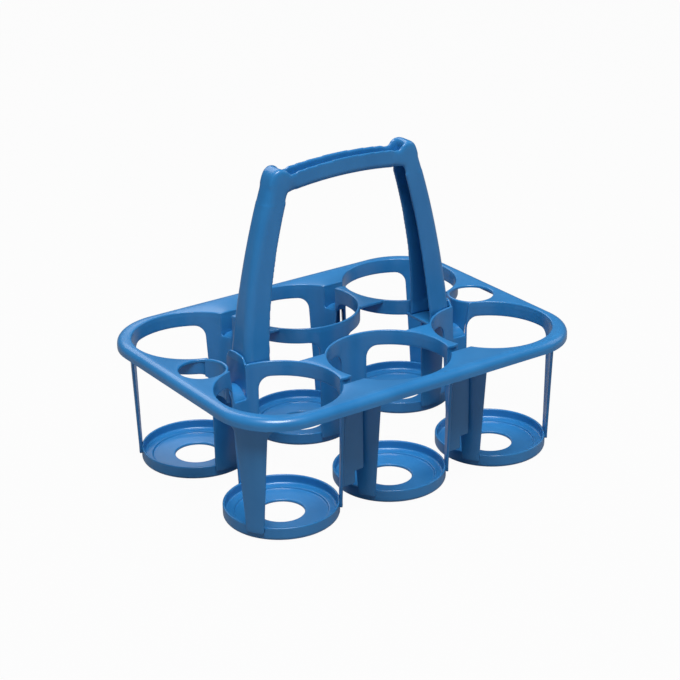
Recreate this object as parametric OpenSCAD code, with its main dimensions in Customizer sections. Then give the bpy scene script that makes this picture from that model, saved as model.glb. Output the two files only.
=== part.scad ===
// Six pack bottle carrier: a moulded rack of six cups in two rows, under a snap-in arched handle.
// The origin is on the table, midway between the six cups. X runs along the rack, Y across it, Z up.
// The front is the side at -Y.

/* [Cups] */
// Bore of each ring that a bottle goes through, mm
cup_bore = 96; // [88:0.5:97]
// Wall of the rings, mm
ring_wall = 2; // [1.6:0.1:2.4]
// Distance between neighbouring cups of one row, mm
cup_pitch = 101.85; // [101.5:0.05:108]
// Distance between the two rows, mm
row_pitch = 124.2; // [122:0.1:130]
// Height of each ring band below the deck's top face, mm
band_h = 12.6; // [9:0.1:16]

/* [Deck and rim] */
// Height of the deck's top face above the table, mm
deck_z = 105.9; // [95:0.1:130]
// Wall of the deck and the rim, mm
skin = 2.2; // [1.8:0.1:2.8]
// Radius of the rim's rounded top edge, mm
nose_r = 5.5; // [4:0.1:6.5]
// Height of the whole rim, from the deck's top face down to its lip, mm
rim_h = 8.6; // [7:0.1:12]
// From the end cups' ring to the rim's outer face, along the rack, mm
rim_end = 6.8; // [6.6:0.1:12]
// From the rings to the rim's outer face, across the rack, mm
rim_side = 7.4; // [6.8:0.1:12]
// Outer corner radius of the rim, mm
corner_r = 50; // [46:0.5:52]
// From the outer tip of a bridge plate to the line through its row's cups, mm
bridge_out = 12.4; // [9:0.1:16]
// From the inner edge of a bridge plate to the line through its row's cups, mm
bridge_in = 31.1; // [20:0.1:36]
// From the inner edge of an outer filler plate to the line through its row's cups, mm
filler_in = 24.9; // [22:0.1:30]
// Radius of the two finger holes at the ends, mm
end_hole_r = 18; // [14:0.1:18.2]
// Centre of each finger hole from the end cups' line, outwards, mm
end_hole_out = 28.65; // [27:0.05:30]
// How deep the wall behind a finger hole hangs below the deck's top face, mm
pocket_h = 18; // [14:0.5:24]

/* [Legs] */
// Wall of the legs, mm
leg_wall = 2; // [1.6:0.1:2.4]
// Width of the outer legs under the ring band, mm
leg_top_w = 27; // [22:0.2:30]
// Width of the outer legs at the foot, mm
leg_foot_w = 14.2; // [10:0.2:20]
// Width of the inner legs under the ring band, mm
inner_top_w = 25.4; // [22:0.2:30]
// Width of the inner legs at the foot, mm
inner_foot_w = 20; // [14:0.2:22]
// Radius in the top corners of the arches between the legs, mm
arch_r = 9.5; // [6:0.1:11]
// Angle of an outer leg round its cup, from straight across the rack, degrees
leg_angle = 58.2; // [54:0.1:62]
// Height of the legs' lower ends above the table, mm
leg_low = 6; // [4.5:0.1:7.5]
// Thickness of the post webs between the outer legs, mm
web_wall = 2; // [1.6:0.1:2.4]
// Height of a post web's long part above the table, mm
web_low = 21.5; // [16:0.5:40]
// Height of the step in a post web above the table, mm
web_step = 32; // [26:0.5:50]
// Width of the stepped part of a post web, mm
web_step_w = 7.9; // [5:0.1:9]
// Gap between a post web and the next cup's leg, mm
web_gap = 1.6; // [1:0.1:3]

/* [Saucers] */
// Outer diameter of the saucers, mm
saucer_d = 89.6; // [80:0.2:92]
// Height of the saucers, mm
saucer_h = 10.8; // [9:0.1:16]
// Wall of the saucers at the brim, mm
saucer_wall = 1.8; // [1.4:0.1:2.4]
// Thickness of the saucers' floor, mm
floor_t = 2.3; // [1.8:0.1:2.8]
// Height of the ledge round the floor, above the floor, mm
ledge_h = 1.4; // [0.8:0.1:2]
// Diameter of the sunk floor inside the ledge, mm
well_d = 72; // [60:0.5:74]
// Radius of the drain hole, mm
drain_r = 17.95; // [10:0.05:24]
// Radius of the saucers' outer bottom corner, mm
heel_r = 3; // [1:0.1:4]

/* [Windows] */
// Nearer edge of the latch windows from the end cups' line, towards the rack's middle, mm
window_in = 1.6; // [0.8:0.1:3]
// Width of the latch windows, mm
window_w = 12; // [8:0.2:13]
// Height of a window's short side under the band, mm
window_short = 1; // [0:0.2:6]
// Height of a window's long side under the band, mm
window_long = 18; // [12:0.5:26]

/* [Handle] */
// Height of the shoulders' tops above the table, mm
handle_z = 252.5; // [230:0.5:270]
// Wall of the handle, mm
handle_wall = 2.3; // [1.8:0.1:2.8]
// Outer width of the grip, mm
grip_w = 16; // [14:0.2:18]
// Height of the grip's section, mm
grip_h = 14.8; // [12:0.2:16]
// Radius of the grip's bottom edges, mm
grip_edge_r = 4; // [2.5:0.1:4.5]
// From the shoulders' tops down to the underside of the grip's middle, mm
grip_drop = 16.7; // [16:0.1:19]
// Radius of the arch that the grip's underside follows, mm
grip_arch_r = 350; // [250:5:600]
// From the centre of a shoulder's round corner inwards to the end of the grip, mm
shoulder_in = 8.3; // [7:0.1:12]
// Radius of the shoulders' outer corners, mm
shoulder_r = 9; // [7:0.1:11]
// From the end cups' line to the back of the handle's foot, mm
foot_back_in = 3.65; // [3.2:0.05:5]
// Radius of the long arc that the back of a handle leg follows, mm
leg_arc_r = 543; // [450:1:700]
// Depth of the handle legs at the deck, mm
foot_depth = 21.2; // [18:0.1:23]
// Depth of the handle legs at the shoulder, mm
neck_depth = 17.6; // [15:0.1:19]
// Width of the handle legs at the deck, mm
foot_w = 27.4; // [24:0.2:27.8]
// Width of the handle legs at the shoulder, mm
neck_w = 18.8; // [17:0.2:22]
// How fast the handle legs widen towards the deck
flare_power = 3.2; // [2:0.1:4]
// Radius of the handle legs' back edges, mm
back_edge_r = 6; // [4:0.1:7]

/* [Sockets] */
// Clearance between the handle's foot and its socket, mm
fit_gap = 0.3; // [0.2:0.05:0.5]
// Wall of the sockets and their collars, mm
collar_wall = 2.4; // [1.8:0.1:3]
// Height of a collar's middle above the deck, mm
collar_h = 6.6; // [4:0.1:9]
// Outer radius of a collar in plan, mm
collar_r = 23.4; // [21:0.1:28]
// Space between a collar and the back of the handle's leg, mm
collar_gap = 2.8; // [1.5:0.1:4]
// How far a collar's top leans towards the handle, mm
collar_lean = 2.4; // [1:0.1:4]

/* [Hidden] */
$fn = 96;
ring_r = cup_bore / 2 + ring_wall;
row_y = row_pitch / 2;
half_len = cup_pitch + ring_r + rim_end;
half_wid = row_y + ring_r + rim_side;
band_z = deck_z - band_h;
under_z = deck_z - skin;
end_hole_x = cup_pitch + end_hole_out;
saucer_r = saucer_d / 2;
bridge_x = cup_pitch / 2;
over = 1;
inner_angle = 90;

// The handle legs' long arc, with its centre in the XZ plane
foot_x = cup_pitch - foot_back_in;
foot_lean = 4.6;
arc_x = foot_x - leg_arc_r * cos(foot_lean);
arc_z = deck_z - leg_arc_r * sin(foot_lean);
shoulder_z = handle_z - shoulder_r;
shoulder_lean = asin((shoulder_z - arc_z) / (leg_arc_r - shoulder_r));
shoulder_x = arc_x + (leg_arc_r - shoulder_r) * cos(shoulder_lean);
grip_half = shoulder_x - shoulder_in;
neck_down = 3.5;
neck_lean = asin((shoulder_z - neck_down - arc_z) / leg_arc_r);
grip_low = handle_z - grip_drop;
grip_axis_z = grip_low - grip_arch_r;
hump_angle = 30;
leg_steps = 18;
edge_steps = 5;

// Puts its children at one cup: column -1, 0 or 1 and row -1 (front) or 1 (back).
module at_cup(column, row) {
  translate([column * cup_pitch, row * row_y, 0]) children();
}

// Puts its children at every cup.
module each_cup() {
  for (column = [-1:1], row = [-1, 1]) at_cup(column, row) children();
}

// Mirrors its children into the back half when row is 1; they are drawn for the front.
module for_row(row) {
  mirror([0, row > 0 ? 1 : 0, 0]) children();
}

// Mirrors its children onto the left side when side is -1; they are drawn for the right.
module for_side(side) {
  mirror([side < 0 ? 1 : 0, 0, 0]) children();
}

// Flat rectangle with round corners, centred, from its half sizes.
module round_rect(half_x, half_y, r) {
  square([2 * (half_x - r), 2 * half_y], center = true);
  square([2 * half_x, 2 * (half_y - r)], center = true);
  for (sx = [-1, 1], sy = [-1, 1]) {
    translate([sx * (half_x - r), sy * (half_y - r)]) circle(r = r);
  }
}

// Section of the rim: a quarter round nose over a straight skirt, hollow underneath.
// X runs outwards from the deck plate's edge, Y is the height.
module rim_section() {
  difference() {
    union() {
      intersection() {
        translate([0, deck_z - nose_r]) circle(r = nose_r);
        translate([0, deck_z - nose_r]) square([nose_r, nose_r]);
      }
      translate([0, deck_z - rim_h]) square([nose_r, rim_h - nose_r]);
    }
    translate([0, deck_z - nose_r]) circle(r = nose_r - skin);
    translate([0, deck_z - rim_h - over]) square([nose_r - skin, rim_h - nose_r + over]);
  }
}

module rim() {
  color([0.25, 0.47, 0.71])
  for (sx = [0, 1], sy = [0, 1]) mirror([sx, 0, 0]) mirror([0, sy, 0]) {
    translate([half_len - corner_r, half_wid - corner_r, 0])
      rotate_extrude(angle = 90)
        translate([corner_r - nose_r, 0]) rim_section();
    translate([0, half_wid - nose_r, 0])
      rotate([90, 0, 90]) linear_extrude(height = half_len - corner_r) rim_section();
    translate([half_len - nose_r, half_wid - corner_r, 0])
      rotate([90, 0, 0]) linear_extrude(height = half_wid - corner_r) rim_section();
  }
}

// Outline of the top plate between the rim, the rings, the finger holes and the middle opening.
module deck_outline() {
  difference() {
    round_rect(half_len - nose_r, half_wid - nose_r, corner_r - nose_r);
    each_cup() circle(r = ring_r);
    for (side = [-1, 1]) translate([side * end_hole_x, 0]) circle(r = end_hole_r);
    square([2 * (foot_x + fit_gap + collar_wall), 2 * (row_y + filler_in)], center = true);
  }
}

module deck_plate() {
  color([0.33, 0.59, 0.86])
  translate([0, 0, under_z]) linear_extrude(height = skin) deck_outline();
}

// Plate that ties two neighbouring rings together, with a turned-down wall at either end.
module bridge(column, row) {
  color([0.31, 0.56, 0.82])
  for_row(row) for_side(column)
  difference() {
    translate([bridge_x - cup_pitch / 4, -row_y - bridge_out, band_z])
      cube([cup_pitch / 2, bridge_out + bridge_in, band_h]);
    translate([bridge_x - cup_pitch / 4 - over, -row_y - bridge_out + ring_wall, band_z - over])
      cube([cup_pitch / 2 + 2 * over, bridge_out + bridge_in - 2 * ring_wall, band_h - skin + over]);
    for (cup = [0, 1]) {
      translate([cup * cup_pitch, -row_y, band_z - over]) cylinder(r = ring_r, h = band_h + 2 * over);
    }
  }
}

// Band round one cup's bore, from the deck's top face down to the arches.
module ring(column, row) {
  color([0.22, 0.44, 0.68])
  for_row(row) at_cup(column, -1)
  difference() {
    translate([0, 0, band_z]) cylinder(r = ring_r, h = band_h);
    translate([0, 0, band_z - over]) cylinder(r = cup_bore / 2, h = band_h + 2 * over);
    if (column != 0) latch_window(column, row);
  }
}

// Half section of the legs' common shell: round the saucer at the foot, then leaning out to the band.
module leg_shell() {
  rotate_extrude()
    polygon([
      [saucer_r, leg_low],
      [saucer_r + leg_wall, leg_low],
      [saucer_r + leg_wall, saucer_h],
      [ring_r, band_z],
      [ring_r - leg_wall, band_z],
      [saucer_r, saucer_h]
    ]);
}

// Face of a leg: a tapered strip that flares into the band with a round corner on each side.
module leg_face(top_w, foot_w) {
  lean = atan((top_w - foot_w) / 2 / (band_z - leg_low));
  flare_z = band_z - arch_r;
  flare_x = top_w / 2 - arch_r * tan(lean) + arch_r / cos(lean);
  join_x = flare_x - arch_r * cos(lean);
  join_z = flare_z + arch_r * sin(lean);
  difference() {
    polygon([
      [-foot_w / 2, leg_low],
      [foot_w / 2, leg_low],
      [join_x, join_z],
      [flare_x, band_z],
      [-flare_x, band_z],
      [-join_x, join_z]
    ]);
    for (side = [-1, 1]) translate([side * flare_x, flare_z]) circle(r = arch_r);
  }
}

// One leg standing at an angle round its cup, drawn from the shell and the face.
module leg(angle, top_w, foot_w) {
  rotate([0, 0, angle])
  intersection() {
    leg_shell();
    rotate([90, 0, 90]) linear_extrude(height = ring_r + over) leg_face(top_w, foot_w);
  }
}

// Opening beside the handle's foot in a corner cup's ring and inner leg, into the hollow behind.
// Its lower edge slopes, and the two rows' openings are half a turn apart.
module latch_window(column, row) {
  near_drop = column * row < 0 ? window_short : window_long;
  far_drop = window_short + window_long - near_drop;
  for_side(column)
  translate([0, ring_r + over, 0])
  rotate([90, 0, 0])
    linear_extrude(height = ring_r)
      polygon([
        [-window_in, under_z],
        [-window_in, band_z - near_drop],
        [window_w - window_in, band_z - far_drop],
        [window_w - window_in, under_z]
      ]);
}

// One leg of a cup, drawn for the front row: place 0 is the inner leg, -1 the left one, 1 the right one.
module cup_leg(column, row, place) {
  color([0.20, 0.41, 0.62])
  for_row(row) at_cup(column, -1)
  if (place == 0) {
    difference() {
      leg(inner_angle, inner_top_w, inner_foot_w);
      if (column != 0) latch_window(column, row);
    }
  } else {
    leg(-90 + place * leg_angle, leg_top_w, leg_foot_w);
  }
}

// Shallow dish under one cup: thin brim, round heel, ledge, sunk floor and drain hole.
module saucer(column, row) {
  color([0.17, 0.40, 0.63])
  at_cup(column, row)
  rotate_extrude()
    difference() {
      union() {
        translate([0, heel_r]) square([saucer_r, saucer_h - heel_r]);
        square([saucer_r - heel_r, heel_r]);
        translate([saucer_r - heel_r, heel_r]) circle(r = heel_r);
      }
      translate([-saucer_r, -over]) square([saucer_r + drain_r, saucer_h + 2 * over]);
      translate([0, floor_t]) square([well_d / 2, saucer_h]);
      translate([0, floor_t + ledge_h]) square([saucer_r - saucer_wall, saucer_h]);
    }
}

// Flat rib in the post between two cups, from one cup's outer leg almost to the next leg.
module web(column, row) {
  color([0.24, 0.47, 0.70])
  for_row(row) translate([column < 0 ? -cup_pitch : 0, -row_y, 0])
  difference() {
    reach = cup_pitch - sqrt(ring_r * ring_r - (filler_in + web_wall) * (filler_in + web_wall)) - web_gap;
    start = sqrt(saucer_r * saucer_r - (filler_in + web_wall) * (filler_in + web_wall));
    translate([start, -filler_in - web_wall, web_low]) cube([reach - start, web_wall, under_z - web_low]);
    translate([reach - web_step_w, -filler_in - web_wall - over, web_low - over])
      cube([web_step_w + over, web_wall + 2 * over, web_step - web_low + over]);
    leg_core();
  }
}

// Everything inside the outer face of a cup's legs and ring, to be cut from what joins it.
module leg_core() {
  rotate_extrude()
    polygon([
      [0, 0],
      [saucer_r + leg_wall, 0],
      [saucer_r + leg_wall, saucer_h],
      [ring_r, band_z],
      [ring_r, deck_z + over],
      [0, deck_z + over]
    ]);
}

// Wall that hangs behind a finger hole, between the two end rings.
module pocket_wall(side) {
  color([0.15, 0.36, 0.57])
  for_side(side)
  difference() {
    translate([end_hole_x, 0, deck_z - pocket_h]) cylinder(r = end_hole_r + skin, h = pocket_h - skin);
    translate([end_hole_x, 0, deck_z - pocket_h - over]) cylinder(r = end_hole_r, h = pocket_h + over);
    translate([end_hole_x - end_hole_r * cos(pocket_angle()), -end_hole_r - skin - over, deck_z - pocket_h - over])
      cube([2 * end_hole_r + skin, 2 * (end_hole_r + skin + over), pocket_h + 2 * over]);
    for (row = [-1, 1]) at_cup(1, row) translate([0, 0, -over]) cylinder(r = ring_r, h = deck_z + 2 * over);
  }
}

// Direction from a finger hole's centre to the nearer ring, from the rack's long axis.
function pocket_angle() = atan(row_y / end_hole_out);

// Pocket between the end rings that takes the handle's foot, with a collar standing round its back.
module socket(side) {
  color([0.28, 0.52, 0.78])
  for_side(side)
  difference() {
    union() {
      translate([foot_x - foot_depth, -row_y, band_z]) cube([foot_depth + fit_gap + collar_wall, row_pitch, skin]);
      translate([foot_x + fit_gap, -row_y, band_z]) cube([collar_wall, row_pitch, band_h]);
      collar();
    }
    for (row = [-1, 1]) at_cup(1, row) {
      translate([0, 0, -over]) cylinder(r = ring_r, h = deck_z + over);
      cylinder(r = cup_bore / 2, h = handle_z);
    }
  }
}

// Lip that stands on the deck round the back of the handle's leg and falls away to both sides.
module collar() {
  half_w = foot_w / 2 + fit_gap;
  crown_r = half_w * half_w / collar_h;
  centre_x = foot_x + collar_gap + collar_wall - collar_r;
  difference() {
    intersection() {
      translate([centre_x, 0, 0])
        rotate_extrude()
          polygon([
            [collar_r - collar_wall, deck_z],
            [collar_r + collar_lean, deck_z],
            [collar_r + collar_lean / 4, deck_z + collar_h / 2],
            [collar_r, deck_z + collar_h],
            [collar_r - collar_wall, deck_z + collar_h]
          ]);
      translate([centre_x, 0, deck_z + collar_h - crown_r])
        rotate([0, 90, 0]) cylinder(r = crown_r, h = 2 * collar_r);
      translate([foot_x + fit_gap - back_edge_r, -half_w, deck_z]) cube([2 * collar_r, 2 * half_w, collar_h]);
    }
    translate([0, 0, deck_z - over]) linear_extrude(height = collar_h + 2 * over) foot_plan(fit_gap);
  }
}

// Outline of the handle's foot in plan, grown by a clearance: open side square, back edges round.
module foot_plan(gap) {
  edge_r = back_edge_r + gap;
  half_w = foot_w / 2 + gap;
  back_x = foot_x + gap;
  translate([foot_x - foot_depth, -half_w]) square([back_x - edge_r - foot_x + foot_depth, 2 * half_w]);
  translate([foot_x - foot_depth, edge_r - half_w]) square([back_x - foot_x + foot_depth, 2 * (half_w - edge_r)]);
  for (s = [-1, 1]) translate([back_x - edge_r, s * (half_w - edge_r)]) circle(r = edge_r);
}

// Angle of the leg's section plane and its place on the long arc, for a share t from foot to neck.
function arc_at(t) = foot_lean + t * (neck_lean - foot_lean);
function tilt_at(t) = neck_lean * t;
function depth_at(t) = foot_depth + t * (neck_depth - foot_depth);
function half_w_at(t) = (neck_w + (foot_w - neck_w) * pow(1 - t, flare_power)) / 2;

// Section of a handle leg: points [depth from the open side, y], round the closed back.
function leg_loop(depth, half_w, r) = concat(
  [[0, -half_w]],
  [for (k = [0:edge_steps]) [depth - r + r * sin(90 * k / edge_steps), -half_w + r - r * cos(90 * k / edge_steps)]],
  [for (k = [0:edge_steps]) [depth - r + r * cos(90 * k / edge_steps), half_w - r + r * sin(90 * k / edge_steps)]],
  [[0, half_w]]
);

// Outer and inner loop of the section at share t, in the rack's frame.
function leg_station(t) =
  let (
    back = [arc_x + leg_arc_r * cos(arc_at(t)), arc_z + leg_arc_r * sin(arc_at(t))],
    lean = tilt_at(t),
    depth = depth_at(t),
    outer = leg_loop(depth, half_w_at(t), back_edge_r),
    inner = leg_loop(depth - handle_wall, half_w_at(t) - handle_wall, back_edge_r - handle_wall)
  )
  [for (p = concat(outer, inner))
    [back[0] - (depth - p[0]) * cos(lean), p[1], back[1] - (depth - p[0]) * sin(lean)]];

module handle_leg(side) {
  n = 2 * edge_steps + 4;
  rings = [for (i = [0:leg_steps]) leg_station(i / leg_steps)];
  points = [for (r = rings, p = r) p];
  function at(i, k) = i * 2 * n + k;
  outer_faces = [for (i = [0:leg_steps - 1], k = [0:n - 2]) each [
    [at(i, k), at(i + 1, k), at(i + 1, k + 1)], [at(i, k), at(i + 1, k + 1), at(i, k + 1)]]];
  inner_faces = [for (i = [0:leg_steps - 1], k = [n:2 * n - 2]) each [
    [at(i, k), at(i + 1, k + 1), at(i + 1, k)], [at(i, k), at(i, k + 1), at(i + 1, k + 1)]]];
  lip_faces = [for (i = [0:leg_steps - 1]) each [
    [at(i, 0), at(i + 1, n), at(i + 1, 0)], [at(i, 0), at(i, n), at(i + 1, n)],
    [at(i, n - 1), at(i + 1, n - 1), at(i + 1, 2 * n - 1)], [at(i, n - 1), at(i + 1, 2 * n - 1), at(i, 2 * n - 1)]]];
  end_faces = [for (k = [0:n - 2]) each [
    [at(0, k), at(0, k + 1), at(0, n + k + 1)], [at(0, k), at(0, n + k + 1), at(0, n + k)],
    [at(leg_steps, k), at(leg_steps, n + k + 1), at(leg_steps, k + 1)],
    [at(leg_steps, k), at(leg_steps, n + k), at(leg_steps, n + k + 1)]]];
  color([0.22, 0.45, 0.69])
  for_side(side)
    polyhedron(points = points, faces = concat(outer_faces, inner_faces, lip_faces, end_faces));
}

// Part of a handle leg that sits in its socket, between the two end rings.
module handle_foot(side) {
  low_z = band_z + skin;
  color([0.18, 0.40, 0.63])
  for_side(side)
  difference() {
    translate([0, 0, low_z]) linear_extrude(height = deck_z - low_z) foot_plan(0);
    for (row = [-1, 1]) at_cup(1, row) cylinder(r = ring_r + fit_gap, h = deck_z + over);
    difference() {
      translate([-handle_wall, 0, low_z - over]) linear_extrude(height = deck_z - low_z + 2 * over) foot_plan(0);
      for (row = [-1, 1]) at_cup(1, row) cylinder(r = ring_r + fit_gap + handle_wall, h = deck_z + 2 * over);
      for (s = [-1, 1]) translate([foot_x - 2 * foot_depth, s * (foot_w - handle_wall) - foot_w / 2, 0])
        cube([3 * foot_depth, foot_w, deck_z + 2 * over]);
    }
  }
}

// Grip: a channel open upwards, bent to a shallow arch between the shoulders.
module grip_section(inset) {
  round_r = grip_edge_r - inset;
  half_w = grip_w / 2 - inset;
  low = grip_arch_r + inset;
  translate([low + round_r, -half_w]) square([grip_h + over - inset - round_r, 2 * half_w]);
  translate([low, -half_w + round_r]) square([grip_h + over - inset, 2 * (half_w - round_r)]);
  for (s = [-1, 1]) translate([low + round_r, s * (half_w - round_r)]) circle(r = round_r);
}

module grip() {
  sweep = 2 * asin((grip_half + 4) / grip_arch_r);
  color([0.26, 0.50, 0.75])
  intersection() {
    translate([0, 0, grip_axis_z])
      rotate([90, 0, 0]) rotate([0, 0, 90 - sweep / 2])
        rotate_extrude(angle = sweep)
          difference() {
            grip_section(0);
            grip_section(handle_wall);
            translate([grip_arch_r + grip_h, -grip_w]) square([2 * over, 2 * grip_w]);
          }
    translate([-grip_half, -grip_w, grip_low - 2 * grip_h]) cube([2 * grip_half, 2 * grip_w, 4 * grip_h]);
  }
}

// Side view of a shoulder in X and Z: the grip's end face, the hump, the round corner and the leg's back.
module shoulder_side() {
  end_low = grip_axis_z + sqrt(grip_arch_r * grip_arch_r - grip_half * grip_half);
  end_high = grip_axis_z + sqrt(pow(grip_arch_r + grip_h, 2) - grip_half * grip_half);
  neck_in = leg_arc_r - neck_depth;
  difference() {
    intersection() {
      union() {
        polygon([
          [grip_half, end_low],
          [arc_x + neck_in * cos(neck_lean), arc_z + neck_in * sin(neck_lean)],
          [arc_x + leg_arc_r * cos(neck_lean), arc_z + leg_arc_r * sin(neck_lean)],
          [shoulder_x + shoulder_r * cos(shoulder_lean), shoulder_z + shoulder_r * sin(shoulder_lean)],
          [shoulder_x, shoulder_z],
          [shoulder_x - shoulder_r * sin(hump_angle), shoulder_z + shoulder_r * cos(hump_angle)],
          [grip_half, end_high]
        ]);
        translate([shoulder_x, shoulder_z]) circle(r = shoulder_r);
      }
      translate([arc_x, arc_z]) circle(r = leg_arc_r, $fn = 360);
    }
    translate([arc_x, arc_z]) rotate(neck_lean)
      translate([neck_in, -2 * shoulder_r]) square([2 * neck_depth, 2 * shoulder_r]);
  }
}

// Shoulder: closes the grip's channel with a wall and joins it to the top of a handle leg.
module shoulder(side) {
  color([0.29, 0.55, 0.82])
  for_side(side)
  difference() {
    intersection() {
      rotate([90, 0, 0]) translate([0, 0, -neck_w / 2]) linear_extrude(height = neck_w) shoulder_side();
      translate([arc_x, 0, arc_z]) rotate([0, -neck_lean, 0])
        translate([leg_arc_r, 0, -neck_w]) linear_extrude(height = 3 * neck_w) shoulder_plan();
    }
    shoulder_channel();
    shoulder_cavity();
  }
}

// Plan of a shoulder, with X measured from the leg's back: as wide as the leg, narrowed to the grip.
module shoulder_plan() {
  translate([-2 * neck_w, -grip_w / 2]) square([2 * neck_w, grip_w]);
  difference() {
    translate([-neck_depth / 2 - back_edge_r, 0]) square([neck_depth, neck_w], center = true);
    translate([-back_edge_r, -neck_w]) square([neck_depth, 2 * neck_w]);
  }
  translate([-back_edge_r - over, back_edge_r - neck_w / 2]) square([back_edge_r + over, neck_w - 2 * back_edge_r]);
  for (s = [-1, 1]) translate([-back_edge_r, s * (neck_w / 2 - back_edge_r)]) circle(r = back_edge_r);
}

// The grip's channel carried on into the shoulder.
module shoulder_channel() {
  half_w = grip_w / 2 - handle_wall;
  floor_z = grip_axis_z + sqrt(pow(grip_arch_r + handle_wall, 2) - grip_half * grip_half);
  back_x = shoulder_x - handle_wall;
  rotate([90, 0, 0]) translate([0, 0, -half_w])
    linear_extrude(height = 2 * half_w)
      polygon([
        [grip_half - over, floor_z],
        [back_x - 2 * handle_wall, floor_z],
        [back_x, floor_z + 2 * handle_wall],
        [back_x, handle_z + over],
        [grip_half - over, handle_z + over]
      ]);
}

// The leg's hollow carried on into the shoulder, up to the wall that closes the grip's channel.
module shoulder_cavity() {
  half_w = neck_w / 2 - handle_wall;
  core_r = shoulder_r - handle_wall;
  neck_in = leg_arc_r - neck_depth - over;
  cavity_lap = 0.3;
  floor_z = grip_axis_z + sqrt(grip_arch_r * grip_arch_r - grip_half * grip_half);
  rotate([90, 0, 0]) translate([0, 0, -half_w])
    linear_extrude(height = 2 * half_w)
      intersection() {
        union() {
          polygon([
            [arc_x + neck_in * cos(neck_lean - cavity_lap), arc_z + neck_in * sin(neck_lean - cavity_lap)],
            [arc_x + leg_arc_r * cos(neck_lean - cavity_lap), arc_z + leg_arc_r * sin(neck_lean - cavity_lap)],
            [shoulder_x + core_r * cos(shoulder_lean), shoulder_z + core_r * sin(shoulder_lean)],
            [shoulder_x, shoulder_z],
            [shoulder_x, floor_z + handle_wall],
            [shoulder_x - 2 * handle_wall, floor_z]
          ]);
          intersection() {
            translate([shoulder_x, shoulder_z]) circle(r = core_r);
            translate([shoulder_x, shoulder_z - core_r]) square([2 * core_r, 2 * core_r]);
          }
        }
        translate([arc_x, arc_z]) circle(r = leg_arc_r - handle_wall, $fn = 360);
      }
}

rim();
deck_plate();
bridge(-1, -1);  // bridge_front_left
bridge(1, -1);  // bridge_front_right
bridge(-1, 1);  // bridge_back_left
bridge(1, 1);  // bridge_back_right
ring(-1, -1);  // ring_front_left
ring(0, -1);  // ring_front_middle
ring(1, -1);  // ring_front_right
ring(-1, 1);  // ring_back_left
ring(0, 1);  // ring_back_middle
ring(1, 1);  // ring_back_right
cup_leg(-1, -1, 0);  // leg_front_left_inner
cup_leg(-1, -1, -1);  // leg_front_left_end
cup_leg(-1, -1, 1);  // leg_front_left_post
cup_leg(0, -1, 0);  // leg_front_middle_inner
cup_leg(0, -1, -1);  // leg_front_middle_left
cup_leg(0, -1, 1);  // leg_front_middle_right
cup_leg(1, -1, 0);  // leg_front_right_inner
cup_leg(1, -1, -1);  // leg_front_right_post
cup_leg(1, -1, 1);  // leg_front_right_end
cup_leg(-1, 1, 0);  // leg_back_left_inner
cup_leg(-1, 1, -1);  // leg_back_left_end
cup_leg(-1, 1, 1);  // leg_back_left_post
cup_leg(0, 1, 0);  // leg_back_middle_inner
cup_leg(0, 1, -1);  // leg_back_middle_left
cup_leg(0, 1, 1);  // leg_back_middle_right
cup_leg(1, 1, 0);  // leg_back_right_inner
cup_leg(1, 1, -1);  // leg_back_right_post
cup_leg(1, 1, 1);  // leg_back_right_end
saucer(-1, -1);  // saucer_front_left
saucer(0, -1);  // saucer_front_middle
saucer(1, -1);  // saucer_front_right
saucer(-1, 1);  // saucer_back_left
saucer(0, 1);  // saucer_back_middle
saucer(1, 1);  // saucer_back_right
web(-1, -1);  // web_front_left
web(1, -1);  // web_front_right
web(-1, 1);  // web_back_left
web(1, 1);  // web_back_right
pocket_wall(-1);  // pocket_wall_left
pocket_wall(1);  // pocket_wall_right
socket(-1);  // socket_left
socket(1);  // socket_right
grip();
shoulder(-1);  // shoulder_left
shoulder(1);  // shoulder_right
handle_leg(-1);  // handle_leg_left
handle_leg(1);  // handle_leg_right
handle_foot(-1);  // handle_foot_left
handle_foot(1);  // handle_foot_right
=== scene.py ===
import math

import bmesh
import bpy
from mathutils import Matrix, Vector
from mathutils.geometry import delaunay_2d_cdt, tessellate_polygon


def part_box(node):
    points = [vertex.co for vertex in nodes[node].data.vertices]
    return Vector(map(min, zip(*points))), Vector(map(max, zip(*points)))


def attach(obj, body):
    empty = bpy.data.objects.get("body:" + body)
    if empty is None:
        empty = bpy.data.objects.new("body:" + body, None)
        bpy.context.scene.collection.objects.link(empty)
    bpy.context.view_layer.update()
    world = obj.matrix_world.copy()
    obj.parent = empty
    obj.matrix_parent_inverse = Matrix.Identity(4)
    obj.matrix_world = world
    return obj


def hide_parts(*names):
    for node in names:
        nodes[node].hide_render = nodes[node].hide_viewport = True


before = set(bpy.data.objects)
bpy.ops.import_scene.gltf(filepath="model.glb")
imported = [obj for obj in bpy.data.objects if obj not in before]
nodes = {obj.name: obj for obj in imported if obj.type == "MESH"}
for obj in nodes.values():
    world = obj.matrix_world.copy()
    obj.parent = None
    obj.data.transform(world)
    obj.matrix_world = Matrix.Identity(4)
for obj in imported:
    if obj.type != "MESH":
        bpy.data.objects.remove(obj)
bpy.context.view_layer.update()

MM = 0.001


def box(name):
    """Lowest and highest corner of a node, in millimetres."""
    low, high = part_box(name)
    return Vector(low) / MM, Vector(high) / MM


# Sizes in millimetres that come from the frame

ring_low, ring_high = box("ring_front_middle")
corner_low, corner_high = box("ring_front_right")
saucer_low, saucer_high = box("saucer_front_middle")
deck_low, deck_high = box("deck_plate")
foot_low, foot_high = box("handle_foot_right")
web_low, web_high = box("web_front_right")

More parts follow.
